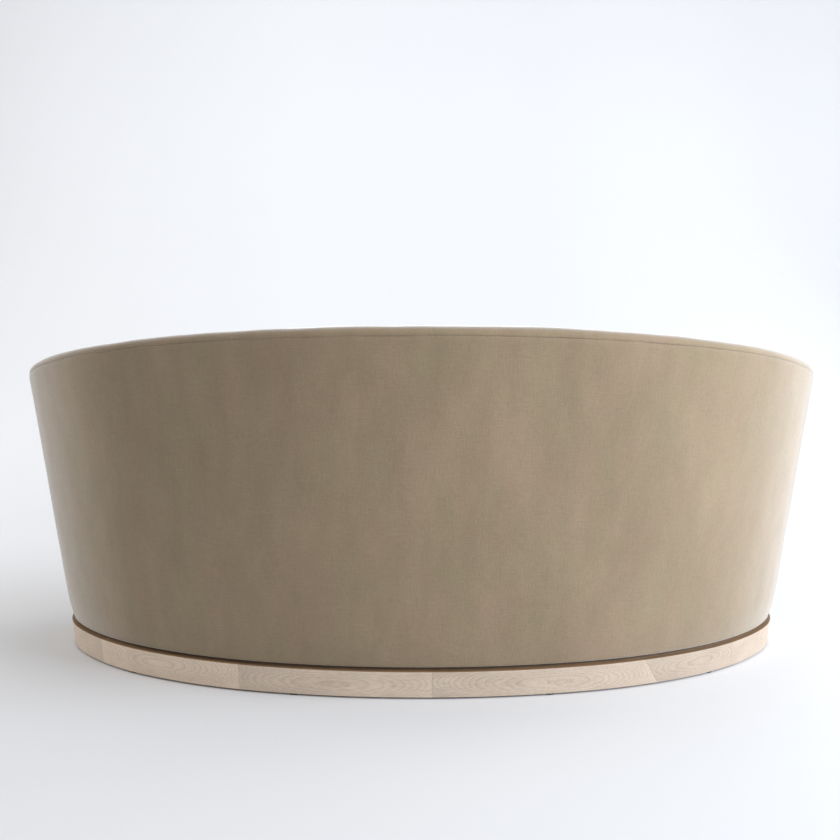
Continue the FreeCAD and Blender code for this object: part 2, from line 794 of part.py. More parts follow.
def make_screws():
    """Countersunk screws, each a stack of rings with flat sides."""
    length = size("screw_length")
    levels = ((0.0, size("screw_head")), (head_drop, size("screw_radius")),
              (length - 2 * head_drop, size("screw_radius")), (length, size("screw_tip")))
    screws = []
    for station in block_stations():
        foot = at(station, screw_proud, screw_base)
        rings = [polygon_ring(SCREW_SIDES, radius, foot + Vector(0, 0, rise)) for rise, radius in levels]
        screws.append(stack(rings))
    feature("frame_screws", Part.makeCompound(screws))


def make_glides():
    places = [rear(angle) for angle in GLIDE_ANGLES]
    places += [corner(1, GLIDE_CORNER), corner(-1, GLIDE_CORNER), bow(GLIDE_BOW), bow(-GLIDE_BOW)]
    discs = []
    for number, station in enumerate(places):
        disc = doc.addObject("Part::Prism", "glide_disc_%d" % number)
        disc.Polygon = GLIDE_SIDES
        disc.setExpression("Circumradius", "sizes.glide_radius")
        disc.setExpression("Height", "sizes.glide_lift")
        disc.Placement = frame_at(station, -size("glide_inset"), 0.0)
        discs.append(disc)
    group = doc.addObject("Part::Compound", "glides")
    group.Links = discs
    keep(group, "glides")


def quarter_paths():
    front_left = joined(run_path(-1, 0, size("side_run")), corner_path(-1, 0, corner_end),
                        bow_path(-bow_end, 0))
    front_right = joined(bow_path(0, bow_end), corner_path(1, corner_end, 0),
                         run_path(1, size("side_run"), 0))
    return (("back_right", rear_path(0, 90)), ("back_left", rear_path(90, 180)),
            ("front_left", front_left), ("front_right", front_right))


def make_reveal_and_sole(holes):
    for name, path in quarter_paths():
        band = strip(path, -size("reveal_setback"),
                     -size("reveal_setback") - size("reveal_width"), plinth_top, reveal_top)
        feature("reveal_band_" + name, band.cut(holes))
    face = -size("hem_tuck") - cover - 2 * fit
    for name, path in quarter_paths():
        board = strip(flats(path), face, face - size("sole_width"), reveal_top, sole_top)
        feature("sole_board_" + name, board.cut(holes))


# Frame

arm_end = size("side_run") - fit


def side_paths():
    """The shell's path in three parts, as they lie counter-clockwise from the +X arm."""
    return (("right", joined(run_path(1, arm_end, 0), rear_path(0, ARM_TURN))),
            ("back", rear_path(ARM_TURN, 180 - ARM_TURN)),
            ("left", joined(rear_path(180 - ARM_TURN, 180), run_path(-1, 0, arm_end))))


def bay_paths():
    """The shell's path from bay to bay, between the middles of neighbouring ribs."""
    bays = [rear_path(low, high) for low, high in zip(RIB_ANGLES, RIB_ANGLES[1:])]
    bays[0] = joined(run_path(1, arm_end, 0), bays[0])
    bays[-1] = joined(bays[-1], run_path(-1, 0, arm_end))
    return bays


bays = bay_paths()
ARM_BAYS = BACK_ARCS // 4   # bays of the top rail and the foam that belong to each arm
rail_bottom = size("rim_pad_depth") + size("top_rail_thick")


def make_rib(label, station, thick_alias, spaces):
    """A flat board that stands square to the outline, leans out with it and stops under the top rail."""
    body = doc.addObject("PartDesign::Body", label + "_board")
    outline = leaning(sole_top, rim_z(station), rib_face, rib_back)
    sketch = add_sketch(body, label + "_outline", "XZ_Plane", outline)
    pad = body.newObject("PartDesign::Pad", label + "_pad")
    pad.Profile = sketch
    pad.setExpression("Length", "sizes." + thick_alias)
    pad.SideType = "Symmetric"
    body.Placement = frame_at(station, 0.0, 0.0)
    whole = body
    for number, space in enumerate(spaces, start=1):
        cut = doc.addObject("Part::Cut", "%s_cut_%d" % (label, number))
        cut.Base = whole
        cut.Tool = space
        whole = cut
    keep(whole, label)


def make_frame():
    spaces = []
    for number, path in enumerate(bays, start=1):
        space = doc.addObject("Part::Feature", "rail_space_%d" % number)
        space.Shape = above_bay(path, rail_bottom)
        spaces.append(space)
    for number, angle in enumerate(RIB_ANGLES):
        make_rib("rib_%d" % (number + 1), rear(angle), "rib_thick", spaces[max(0, number - 1):number + 1])
    post_place = arm_end - size("post_thick") / 2
    make_rib("arm_post_right", run(1, post_place), "post_thick", spaces[:1])
    make_rib("arm_post_left", run(-1, post_place), "post_thick", spaces[-1:])
    rails = []
    for path in bays:
        rail = flat_swept(path, leaning(seat_top, above_all, rib_face, rib_back))
        rail = rail.cut(above_bay(path, size("rim_pad_depth"))).common(above_bay(path, rail_bottom))
        rails += rail.Solids
    feature("top_rail_right", Part.makeCompound(rails[:ARM_BAYS]))
    feature("top_rail_back", Part.makeCompound(rails[ARM_BAYS:-ARM_BAYS]))
    feature("top_rail_left", Part.makeCompound(rails[-ARM_BAYS:]))


side_rail_face = rib_back + fit
side_rail_back = side_rail_face + size("seat_rail_thick")
front_rail_face = cover + size("front_pad") + 2 * fit
front_rail_back = front_rail_face + size("seat_rail_thick")
rail_low = seat_top - size("seat_rail_height")


def front_path(start):
    return joined(corner_path(-1, start, corner_end), bow_path(-bow_end, bow_end),
                  corner_path(1, corner_end, start))


def make_seat_frame():
    rails = {}
    for name, path in side_paths():
        rails[name] = flat_swept(path, leaning(rail_low, seat_top, side_rail_face, side_rail_back))
        feature("seat_rail_" + name, rails[name])
    front_section = leaning(sole_top, seat_top, front_rail_face, front_rail_back)
    rails["front"] = flat_swept(front_path(0), front_section)
    feature("seat_rail_front", rails["front"])
    bars = []
    for side in (-1, 1):
        length = size("front_reach") + size("back_reach")
        bar = Part.makeBox(size("stretcher_thick"), length, size("stretcher_height"))
        bar.translate(Vector(side * size("stretcher_place") - size("stretcher_thick") / 2,
                             -size("front_reach") + size("corner_radius") / 2 - centre_y, rail_low))
        pieces = bar.cut(rails["front"]).cut(rails["back"]).Solids
        bars.append(max(pieces, key=lambda solid: solid.Volume))
    feature("seat_stretchers", Part.makeCompound(bars))


def make_rib_blocks():
    """Glue blocks in the angle between each rib and the sole."""
    blocks = []
    for number, angle in enumerate(RIB_ANGLES, start=1):
        block = doc.addObject("Part::Box", "rib_block_%d" % number)
        block.setExpression("Length", "sizes.rib_depth - sizes.corner_block_width")
        block.setExpression("Width", "sizes.corner_block_width")
        block.setExpression("Height", "sizes.corner_block_height")
        place = frame_at(rear(angle), lean(sole_top) - rib_back + size("corner_block_width") / 2, sole_top)
        beside = size("rib_thick") / 2
        if angle > 90:
            beside = -beside - size("corner_block_width")
        block.Placement = place.multiply(FreeCAD.Placement(Vector(0, beside, 0), FreeCAD.Rotation()))
        blocks.append(block)
    group = doc.addObject("Part::Compound", "rib_blocks")
    group.Links = blocks
    keep(group, "rib_blocks")


# Webbing

def strap(points, width_axis):
    """A flat strap through centre points, as wide as the webbing along width_axis."""
    half = size("strap_thick") / 2
    outline = [point + Vector(0, 0, half) for point in points]
    outline += [point - Vector(0, 0, half) for point in reversed(points)]
    half_width = width_axis * (size("strap_width") / 2)
    face = Part.Face(Part.makePolygon([p - half_width for p in outline] + [outline[0] - half_width]))
    return face.extrude(width_axis * size("strap_width"))


def woven(start, end, crossings, first_up, make_point):
    """Centre points of a strap that lies flat on its rails and goes over and under those it crosses."""
    on_rail = seat_top + size("strap_thick") / 2
    half = size("strap_width") / 2 + size("weave_room")
    points = [make_point(start, on_rail), make_point(start + STRAP_SEAT, on_rail)]
    up = first_up
    for place in crossings:
        z = strap_middle + (size("weave_rise") if up else -size("weave_rise"))
        z = max(z, on_rail)
        points += [make_point(place - half, z), make_point(place + half, z)]
        up = not up
    points += [make_point(end - STRAP_SEAT, on_rail), make_point(end, on_rail)]
    return points


def make_seat_webbing():
    z = seat_top
    rail_middle = lean(z) - side_rail_back
    front_edge = lean(z) - front_rail_face
    width = 2 * (size("half_width") + rail_middle)
    long_pitch = (width - 2 * size("strap_margin")) / (LONG_STRAPS - 1)
    xs = [(k - (LONG_STRAPS - 1) / 2) * long_pitch for k in range(LONG_STRAPS)]
    first_y = size("strap_width") / 2 + size("strap_inset") - size("side_run") - centre_y
    last_y = size("last_strap") - centre_y
    ys = [first_y + (last_y - first_y) * k / (CROSS_STRAPS - 1) for k in range(CROSS_STRAPS)]
    straps = []
    for number, x in enumerate(xs):
        back_y = at(rear(rear_angle(x, rail_middle)), rail_middle, z).y + STRAP_SEAT - size("strap_inset")
        front_y = at(bow(bow_angle(x, front_edge)), front_edge, z).y + size("strap_inset")
        crossed = [y for y in ys if y < back_y - STRAP_SEAT - size("strap_width")]
        points = woven(front_y, back_y, crossed, number % 2 == 0,
                       lambda place, height, x=x: Vector(x, place, height))
        straps.append(strap(points, Vector(1, 0, 0)))
    for number, y in enumerate(ys):
        half = size("half_width") + rail_middle
        if y + centre_y > 0:
            half = at(rear(rear_quarter_angle(y, rail_middle)), rail_middle, z).x
        end = half + STRAP_SEAT - size("strap_inset")
        crossed = [x for x in xs if abs(x) < half - size("strap_width")]
        first = xs.index(crossed[0])
        points = woven(-end, end, crossed, (first + number) % 2 == 1,
                       lambda place, height, y=y: Vector(place, y, height))
        straps.append(strap(points, Vector(0, 1, 0)))
    feature("seat_webbing", Part.makeCompound(straps))


def make_back_webbing():
    """Straps across the inner edges of the ribs, as far round as the ribs are tall enough."""
    straps = []
    z = seat_top + size("back_strap_pitch")
    half = size("strap_width") / 2
    while True:
        needed = z + half + rail_bottom
        tall = [angle for angle in RIB_ANGLES if rim_z(rear(angle)) > needed]
        if len(tall) < 3:
            break
        section = leaning(z - half, z + half, rib_back + fit, rib_back + fit + size("strap_thick"))
        straps.append(flat_swept(rear_path(tall[0], tall[-1]), section))
        z += size("back_strap_pitch")
    feature("back_webbing", Part.makeCompound(straps))


# Padding

def foam_section():
    low = deck_base + fit
    return [(lean(low) - foam_face, low), (lean(above_all) - foam_face, above_all),
            (inner(above_all) + cover + fit, above_all), (inner(low) + cover + fit, low)]


def rim_pad_section(station):
    low = rim_z(station) - rail_bottom
    section = [(lean(low) - cover - fit, low)]
    section += rim_curve(station, cover + fit, PAD_TURNS)
    section.append((inner(low) + cover + fit, low))
    return section


def make_padding():
    outer = leaning(hem_top + fit, above_all, board_face, board_face + size("board_thick"))
    boards, pads, slabs = [], [], []
    for path in bays:
        above = above_bay(path, size("rim_pad_depth"))
        boards += flat_swept(path, outer).cut(above).Solids
        slabs += flat_swept(path, foam_section()).cut(above).Solids
        top = above_bay(path, size("rim_pad_depth") - fit)
        pads += wall(flats(path), rim_pad_section).common(top).Solids
    feature("outer_boards", Part.makeCompound(boards))
    feature("rim_pad", Part.makeCompound(pads))
    feature("arm_foam_right", Part.makeCompound(slabs[:ARM_BAYS]))
    feature("back_foam", Part.makeCompound(slabs[ARM_BAYS:-ARM_BAYS]))
    feature("arm_foam_left", Part.makeCompound(slabs[-ARM_BAYS:]))


def largest(shape):
    return max(shape.Solids, key=lambda solid: solid.Volume)


def make_arm_fronts():
    """Front end of each arm: a foam pad over the bent front rail, and a cover seamed like the rim."""
    rail_room = leaning(sole_top - fit, deck_base + fit, front_rail_face - fit, front_rail_back + fit)
    rail = flat_swept(front_path(0), rail_room)
    under_seat = level_slab(deck_base)
    low = reveal_top + fit
    inset = cover + fit
    for name, side in (("right", 1), ("left", -1)):
        path = nose_path(side, 0.0, low)
        above = above_rim(size("seam_drop") + fit)
        body = nose(flats(path), inset, sole_top + fit).cut([well_prism(inset), rail, above])
        cap = nose_cap(flats(path), inset, PAD_TURNS, 0.0)
        cap = cap.cut([well_prism(inset), roll_wedge(side, inset, PAD_TURNS)])
        feature("arm_front_pad_" + name, Part.makeCompound([largest(body), largest(cap)]))
        longer = flats(nose_path(side, size("rim_round") / 2, low))
        hollow = nose(longer, cover, reveal_top - fit)
        body = nose(path, 0.0, low).cut([well_prism(0.0), hollow.cut(well_prism(cover)),
                                         hollow.common(under_seat)])
        hollow = nose_cap(longer, cover, PAD_TURNS, 0.0)
        hollow = hollow.cut([well_prism(cover), roll_wedge(side, cover, PAD_TURNS)])
        cap = nose_cap(path, 0.0, ROLL_TURNS, fit)
        cap = cap.cut([well_prism(0.0), roll_wedge(side, 0.0, ROLL_TURNS), hollow])
        feature("arm_front_cover_" + name, Part.makeCompound([largest(body), largest(cap)]))


# Covers

def outside_line(back):
    """The outside's section at a distance behind its face, from the hem up."""
    low = reveal_top + fit
    return [(lean(low) - size("hem_tuck") - back, low), (lean(hem_top) - back, hem_top),
            (lean(above_all) - back, above_all)]


def inside_line(back):
    low = deck_base + fit
    return [(inner(low) + back, low), (inner(above_all) + back, above_all)]


def backed(line, path):
    """A cover whose face is a true curve and whose back has straight facets."""
    front = swept(path, line(0.0) + list(reversed(line(cover + 2 * size("flat_sag")))))
    hollow = flat_swept(path, line(cover) + list(reversed(line(CUT_REACH))))
    return front.cut(hollow)


def rim_cover_section(station):
    """The rolled rim down to just above both seams."""
    low = rim_z(station) - size("seam_drop") + fit
    return [(proud, max(z, low)) for proud, z in rim_curve(station, 0.0, ROLL_TURNS)]


def rim_hollow_section(station):
    return rim_curve(station, cover, PAD_TURNS)


def border_section():
    low, high = reveal_top + fit, deck_top
    back = cover + size("front_pad")
    return [(lean(low) - size("hem_tuck"), low), (lean(hem_top), hem_top), (lean(high), high),
            (lean(high) - back, high), (lean(hem_top) - back, hem_top),
            (lean(sole_top) - back, sole_top + fit), (lean(low) - size("hem_tuck") - cover, sole_top),
            (lean(low) - size("hem_tuck") - cover, low)]


def make_covers():
    whole = joined(run_path(1, arm_end, 0), rear_path(0, 180), run_path(-1, 0, arm_end))
    feature("outside_cover", backed(outside_line, whole).cut(above_rim(size("seam_drop"))))
    panel = backed(inside_line, whole).cut(rim_space(size("seam_drop"), CUT_REACH))
    roll = wall(whole, rim_cover_section).cut(wall(flats(whole), rim_hollow_section))
    feature("inside_cover", Part.makeCompound(panel.Solids + roll.Solids))
    feature("front_border", swept(bow_path(-bow_end, bow_end), border_section()).common(well_prism(-fit)))
    dust_edge = -size("reveal_setback") - size("reveal_width") - fit
    dust = flat_face(outline_ring(dust_edge, reveal_top - size("dust_cloth_thick")))
    feature("dust_cover", dust.extrude(Vector(0, 0, size("dust_cloth_thick"))))


def make_deck():
    border = cover + size("front_pad") + fit
    low = deck_base + fit
    feature("deck_pad", stack([seat_ring(z, 0.0, border, fit, flats) for z in (low, deck_top)]))


# Seat cushion

def cushion_form(levels, shrink, drawn):
    rings = []
    for level, draw in levels:
        z = cushion_base + level
        if level == 0:
            z += shrink
        if level >= size("cushion_thick"):
            z -= shrink
        rings.append(seat_ring(z, draw + shrink, draw + shrink, size("cushion_gap"), drawn))
    return stack(rings)


def make_cushion():
    thin = size("cushion_cover_thick")
    feature("cushion_core", cushion_form(core_levels, thin + fit, flats))
    hollow = cushion_form(core_levels, thin, flats)
    feature("cushion_cover", cushion_form(cushion_levels, 0.0, true_curve).cut(hollow))
    middle = cushion_base + size("cushion_thick") / 2
    low, high = middle - size("zip_width") / 2, middle + size("zip_width") / 2
    back = size("cushion_gap") - fit
    front = back - size("zip_thick")
    tape = [(inner(low) - front, low), (inner(high) - front, high),
            (inner(high) - back, high), (inner(low) - back, low)]
    feature("cushion_zip", swept(rear_path(ARM_TURN, 180 - ARM_TURN), tape))


holes = make_holes()
make_plinth()
make_glue_blocks(holes)
make_screws()
make_glides()
make_reveal_and_sole(holes)
make_frame()
make_seat_frame()
make_rib_blocks()
make_seat_webbing()
make_back_webbing()
make_padding()
make_arm_fronts()
make_covers()
make_deck()
make_cushion()
doc.recompute()

failed = [item.Label for item in doc.Objects if "Invalid" in item.State or "Error" in item.State]
bad = [item.Label for item in nodes if item.Shape.isNull() or not item.Shape.isValid()]
if failed or bad:
    raise RuntimeError("failed objects: %s; bad shapes: %s" % (failed, bad))

os.makedirs("parts", exist_ok=True)
for item in nodes:
    item.Shape.exportStep("parts/%s.step" % item.Label)
whole_box = FreeCAD.BoundBox()
for item in nodes:
    whole_box.add(item.Shape.BoundBox)
print("nodes", len(nodes), "solids", sum(len(item.Shape.Solids) for item in nodes))
print("box", whole_box)
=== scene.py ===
"""Looks of the barrel loveseat: velvet shell, bench cushion and limed oak plinth.

Metres. +Z is up, the front faces -Y, and the photograph looks at the back from the +Y side.
"""
import json
import math

import bpy
import numpy as np
from mathutils import Euler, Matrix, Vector, noise


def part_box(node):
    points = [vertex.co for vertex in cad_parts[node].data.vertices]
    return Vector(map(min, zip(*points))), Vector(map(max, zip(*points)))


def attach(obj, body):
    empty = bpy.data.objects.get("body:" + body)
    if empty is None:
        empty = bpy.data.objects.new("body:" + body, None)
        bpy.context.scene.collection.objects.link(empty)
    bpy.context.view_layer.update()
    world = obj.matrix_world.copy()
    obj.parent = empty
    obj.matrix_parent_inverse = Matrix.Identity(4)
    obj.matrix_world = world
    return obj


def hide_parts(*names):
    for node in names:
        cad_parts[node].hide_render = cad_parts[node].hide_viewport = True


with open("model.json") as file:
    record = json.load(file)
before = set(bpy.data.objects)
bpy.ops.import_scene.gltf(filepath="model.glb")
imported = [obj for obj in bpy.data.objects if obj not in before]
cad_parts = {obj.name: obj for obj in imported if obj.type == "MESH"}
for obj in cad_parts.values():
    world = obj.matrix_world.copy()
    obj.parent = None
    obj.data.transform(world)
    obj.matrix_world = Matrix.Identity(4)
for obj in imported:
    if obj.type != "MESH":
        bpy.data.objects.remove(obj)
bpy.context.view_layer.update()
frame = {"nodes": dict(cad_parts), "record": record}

# Driving sizes of the outline, as in the CAD source
HALF_WIDTH = 0.845
BACK_REACH = 0.500
FRONT_REACH = 0.240
SIDE_RUN = 0.060
CORNER_RADIUS = 0.080
SIDE_LEAN = 7.8
BACK_RAKE = 12.0
PLINTH_TOP = 0.059
REVEAL_TOP = 0.066
RIM_HEIGHT = 0.766
RIM_FALL = 12.6
RIM_THICK = 0.108
RIM_ROUND = 0.030
SEAM_DROP = 0.020
HEM_TUCK = 0.007
HEM_HEIGHT = 0.070
COVER_THICK = 0.006
BACK_ARCS = 8
OAK_JOINTS = (6.0, 31.0, 63.5, 91.5, 126.0, 146.0, 174.0)    # degrees round the back
BOW_JOINTS = (-9.0, 0.5, 9.0)                                # degrees along the bowed front

# Soft detail of the covers
HEM_CLEARANCE = 0.0003     # between the covers' lower edges and the reveal's top
HEM_ROUND = 0.005          # roundness of those edges
OUTER_GROOVE = 0.0013      # depth of the seam below the rim, outside
INNER_GROOVE = 0.0015      # the same inside
GROOVE_WIDTH = 0.009
SLACK = 0.0011             # height of the outside cover's long waves
RIPPLE = 0.0005            # and of its short ones
ROLL_FULLNESS = 0.88       # below 1, the roll is squarer than an ellipse
ROLL_SETTLING = 0.0018     # how far the roll's top has settled, with its long waves
ROLL_RIPPLE = 0.0012
INSIDE_REACH = 0.008       # how far the inside cover goes down behind the deck
INSIDE_RECESS = 0.002
INSIDE_BELLY = 0.006
INSIDE_RIPPLE = 0.0012
BORDER_THICK = 0.008
BORDER_ROUND = 0.004
BORDER_GAP = 0.001         # between the border's ends and the inside of the arms
BORDER_RIPPLE = 0.0009
ARM_VOXEL = 0.005
ARM_SOFTENING = 8
CUSHION_VOXEL = 0.006
CUSHION_PRESSURE = 1.5
CUSHION_CAP = 0.008        # most that the filling moves a point of the cushion
CUSHION_FRAMES = 20
CUSHION_SOFTENING = 36

SPAN_ANGLE = 180.0 / BACK_ARCS
OUT_SLOPE = math.tan(math.radians(SIDE_LEAN))
IN_SLOPE = math.tan(math.radians(BACK_RAKE))
RIM_SLOPE = math.tan(math.radians(RIM_FALL))
TOP_SEAM = RIM_HEIGHT - SEAM_DROP
CORNER_X = HALF_WIDTH - CORNER_RADIUS
BOW_RISE = FRONT_REACH - SIDE_RUN
BOW_RADIUS = (CORNER_X ** 2 + BOW_RISE ** 2 - CORNER_RADIUS ** 2) / (2 * (BOW_RISE - CORNER_RADIUS))
BOW_END = math.asin(CORNER_X / (BOW_RADIUS - CORNER_RADIUS))
HEM_LOW = REVEAL_TOP + HEM_CLEARANCE
SAME_FACING = 1e-9         # facings closer than this are one
STILL = 1e-9               # a point that moves less than this stays where it is
RUN_STEPS = 12             # stations on each arm's straight side
REAR_STEP = 0.5            # degrees between stations on the back

oak_nodes = sorted(name for name in frame["nodes"] if name.startswith("plinth_segment"))
CENTRE_Y = BACK_REACH - max(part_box(name)[1].y for name in oak_nodes)
deck_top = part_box("deck_pad")[1].z


# Stations along the plan outline: rows of x, y and the outward direction there

def ellipse_facing(angle):
    turn = math.radians(angle)
    return math.atan2(math.sin(turn) / BACK_REACH, math.cos(turn) / HALF_WIDTH)


def ellipse_point(angle):
    turn = math.radians(angle)
    return np.array([HALF_WIDTH * math.cos(turn), BACK_REACH * math.sin(turn)])


def direction(facing):
    return np.array([math.cos(facing), math.sin(facing)])


def back_arcs():
    """Arcs of the back, as (last facing, centre, radius), each pair meeting the ellipse at its ends."""
    arcs = []
    for first in range(0, BACK_ARCS, 2):
        facings = [ellipse_facing((first + k) * SPAN_ANGLE) for k in range(3)]
        start, end = ellipse_point(first * SPAN_ANGLE), ellipse_point((first + 2) * SPAN_ANGLE)
        turns = np.array([direction(facings[1]) - direction(facings[0]),
                          direction(facings[2]) - direction(facings[1])]).T
        radii = np.linalg.solve(turns, end - start)
        arcs.append((facings[1], start - radii[0] * direction(facings[0]), radii[0]))
        arcs.append((facings[2], end - radii[1] * direction(facings[2]), radii[1]))
    return arcs


BACK = back_arcs()


def rear(angle):
    """Station on the back, at an angle round its ellipse in degrees."""
    facing = ellipse_facing(angle)
    centre, radius = [arc[1:] for arc in BACK if facing < arc[0] + SAME_FACING][0]
    normal = direction(facing)
    point = centre + radius * normal
    return (point[0], point[1], normal[0], normal[1])


def run(side, distance):
    """Station on an arm's straight side, in front of the widest line."""
    return (side * HALF_WIDTH, -distance, float(side), 0.0)


def bow(turn):
    """Station on the bowed front, at a turn from its middle."""
    return (BOW_RADIUS * math.sin(turn), BOW_RADIUS - FRONT_REACH - BOW_RADIUS * math.cos(turn),
            math.sin(turn), -math.cos(turn))


def evenly(stations, spacing):
    """The same line with stations at an even spacing, taken between the given close ones."""
    rows = np.array(stations)
    steps = np.hypot(np.diff(rows[:, 0]), np.diff(rows[:, 1]))
    places = np.concatenate([[0.0], np.cumsum(steps)])
    count = max(2, int(round(places[-1] / spacing)) + 1)
    wanted = np.linspace(0.0, places[-1], count)
    found = np.array([np.interp(wanted, places, rows[:, k]) for k in range(4)]).T
    found[:, 2:] /= np.hypot(found[:, 2], found[:, 3])[:, None]
    return found


def shell_stations(spacing):
    """Round the whole shell, from the front end of the +X arm to that of the -X arm."""
    line = [run(1, SIDE_RUN - step * SIDE_RUN / RUN_STEPS) for step in range(RUN_STEPS)]
    line += [rear(step * REAR_STEP) for step in range(int(180 / REAR_STEP) + 1)]
    line += [run(-1, step * SIDE_RUN / RUN_STEPS) for step in range(1, RUN_STEPS + 1)]
    return evenly(line, spacing)


def lean(z):
    """How far the outside stands out at a height."""
    return OUT_SLOPE * (z - PLINTH_TOP)


def inner(z):
    """How far out the inside of the back stands at a height; negative is inwards."""
    return lean(TOP_SEAM) - RIM_THICK - IN_SLOPE * (TOP_SEAM - z)


def rim_z(stations):
    """Top of the rim, a plane that falls towards the front, at the outer shoulder."""
    y, ny = stations[:, 1], stations[:, 3]
    drag = RIM_SLOPE * OUT_SLOPE * ny
    level = RIM_HEIGHT - RIM_SLOPE * (BACK_REACH + lean(RIM_HEIGHT) - y) - drag * PLINTH_TOP
    return level / (1 - drag)


def placed(stations, proud, z):
    """Points of a swept section: proud and z have one row for each station."""
    x = stations[:, 0:1] + proud * stations[:, 2:3]
    y = stations[:, 1:2] + proud * stations[:, 3:4] - CENTRE_Y
    return np.stack([x, y, z], axis=2)


# Meshes

def new_object(name, points, faces, body, material):
    mesh = bpy.data.meshes.new(name)
    mesh.from_pydata([tuple(point) for point in points], [], faces)
    mesh.validate()
    mesh.polygons.foreach_set("use_smooth", [True] * len(mesh.polygons))
    mesh.materials.append(material)
    item = bpy.data.objects.new(name, mesh)
    bpy.context.scene.collection.objects.link(item)
    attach(item, body)
    return item


def swept_object(name, rows, body, material):
    """A closed section carried along a line, with both its ends closed."""
    count, around = rows.shape[0], rows.shape[1]
    faces = []
    for k in range(count - 1):
        for j in range(around):
            following = (j + 1) % around
            faces.append((k * around + j, k * around + following,
                          (k + 1) * around + following, (k + 1) * around + j))
    faces.append(tuple(reversed(range(around))))
    faces.append(tuple(range((count - 1) * around, count * around)))
    return new_object(name, rows.reshape(-1, 3), faces, body, material)


def unevenness(points, scale, seed):
    """Smooth noise from -1 to 1 at each point."""
    offset = Vector((seed * 7.31, seed * 3.17, seed * 1.93))
    flat = points.reshape(-1, 3)
    values = [noise.noise(Vector(point) * scale + offset) for point in flat]
    return np.array(values).reshape(points.shape[:-1])


def smooth_step(values, low, high):
    share = np.clip((values - low) / (high - low), 0.0, 1.0)
    return share * share * (3 - 2 * share)


# Materials

def link(tree, source, target):
    tree.links.new(source, target)


def base_material(name):
    material = bpy.data.materials.new(name)
    material.use_nodes = True
    tree = material.node_tree
    return material, tree, tree.nodes["Principled BSDF"]


def place_node(tree, scale=(1, 1, 1), turn=(0, 0, 0), shift=(0, 0, 0)):
    """Object coordinates, which are the object's own place in metres, turned and scaled."""
    coordinates = tree.nodes.new("ShaderNodeTexCoord")
    mapping = tree.nodes.new("ShaderNodeMapping")
    mapping.inputs["Location"].default_value = shift
    mapping.inputs["Rotation"].default_value = turn
    mapping.inputs["Scale"].default_value = scale
    link(tree, coordinates.outputs["Object"], mapping.inputs["Vector"])
    return mapping.outputs["Vector"]


def noise_node(tree, vector, scale, detail=3.0, roughness=0.55, distortion=0.0):
    node = tree.nodes.new("ShaderNodeTexNoise")
    node.inputs["Scale"].default_value = scale
    node.inputs["Detail"].default_value = detail
    node.inputs["Roughness"].default_value = roughness
    node.inputs["Distortion"].default_value = distortion
    link(tree, vector, node.inputs["Vector"])
    return node.outputs["Fac"]


def ramp_node(tree, value, stops):
    node = tree.nodes.new("ShaderNodeValToRGB")
    ramp = node.color_ramp
    while len(ramp.elements) < len(stops):
        ramp.elements.new(0.5)
    for element, (place, colour) in zip(ramp.elements, stops):
        element.position = place
        element.color = (*colour, 1.0)
    link(tree, value, node.inputs["Fac"])
    return node.outputs["Color"]


def math_node(tree, operation, first, second):
    node = tree.nodes.new("ShaderNodeMath")
    node.operation = operation
    for socket, value in zip(node.inputs, (first, second)):
        if isinstance(value, (int, float)):
            socket.default_value = value
        else:
            link(tree, value, socket)
    return node.outputs["Value"]


MIX_FIRST, MIX_SECOND, MIX_RESULT = 6, 7, 2    # the Mix node's sockets for colours


def mix_node(tree, blend, share, first, second):
    node = tree.nodes.new("ShaderNodeMix")
    node.data_type = "RGBA"
    node.blend_type = blend
    if isinstance(share, (int, float)):
        node.inputs["Factor"].default_value = share
    else:
        link(tree, share, node.inputs["Factor"])
    for socket, value in ((node.inputs[MIX_FIRST], first), (node.inputs[MIX_SECOND], second)):
        if isinstance(value, tuple):
            socket.default_value = (*value, 1.0)
        else:
            link(tree, value, socket)
    return node.outputs[MIX_RESULT]


def bump_node(tree, shader, height, strength, distance):
    node = tree.nodes.new("ShaderNodeBump")
    node.inputs["Strength"].default_value = strength
    node.inputs["Distance"].default_value = distance
    link(tree, height, node.inputs["Height"])
    link(tree, node.outputs["Normal"], shader.inputs["Normal"])


THREAD_SCALE = 330.0


